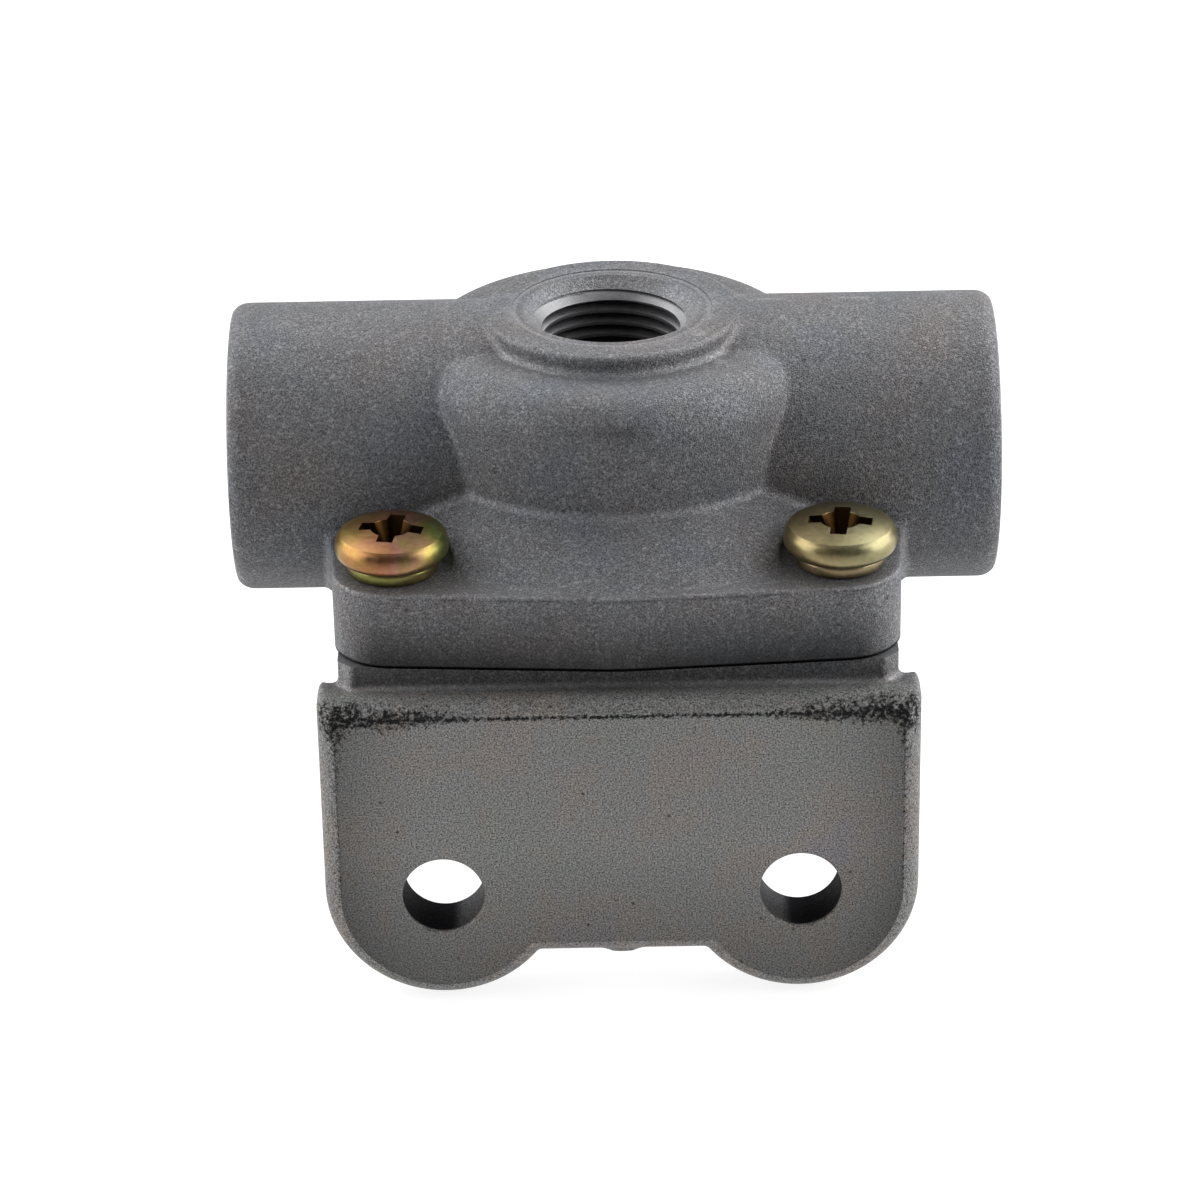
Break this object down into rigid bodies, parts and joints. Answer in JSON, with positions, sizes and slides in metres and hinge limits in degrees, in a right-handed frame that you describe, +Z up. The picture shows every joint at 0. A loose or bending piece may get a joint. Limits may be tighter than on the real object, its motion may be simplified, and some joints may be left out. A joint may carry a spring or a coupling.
{
  "type": "quick exhaust valve",
  "caption": "Cast tee-shaped quick exhaust valve for air brakes, with threaded supply, delivery and exhaust ports, a rubber diaphragm inside and a fixing bracket on its square cover.",
  "frame": {"origin": "midway between the two bracket holes, on the bracket's fixing face", "axes": "+X along the delivery ports, -Y out of the bracket's fixing face, +Z up the valve's axis to the supply port"},
  "size_m": [0.0822, 0.0646, 0.0665],
  "materials": {
    "body_casting": "shot-blasted die casting",
    "cover_casting": "shot-blasted die casting",
    "rubber": "matt",
    "zinc_screw": "yellow zinc plating",
    "zinc_washer": "yellow zinc plating"
  },
  "bodies": {
    "housing": {"valve_body": "body_casting", "cover_bracket": "cover_casting", "cover_seal": "rubber", "screw_front_left": "zinc_screw", "screw_front_right": "zinc_screw", "screw_back_left": "zinc_screw", "screw_back_right": "zinc_screw", "lock_washer_front_left": "zinc_washer", "lock_washer_front_right": "zinc_washer", "lock_washer_back_left": "zinc_washer", "lock_washer_back_right": "zinc_washer"},
    "diaphragm": {"diaphragm": "rubber"}
  },
  "joints": [
    {"name": "diaphragm_lift", "type": "slide", "parent": "housing", "child": "diaphragm", "axis": [0, 0, 1], "range_m": [0, 0.0015]}
  ]
}
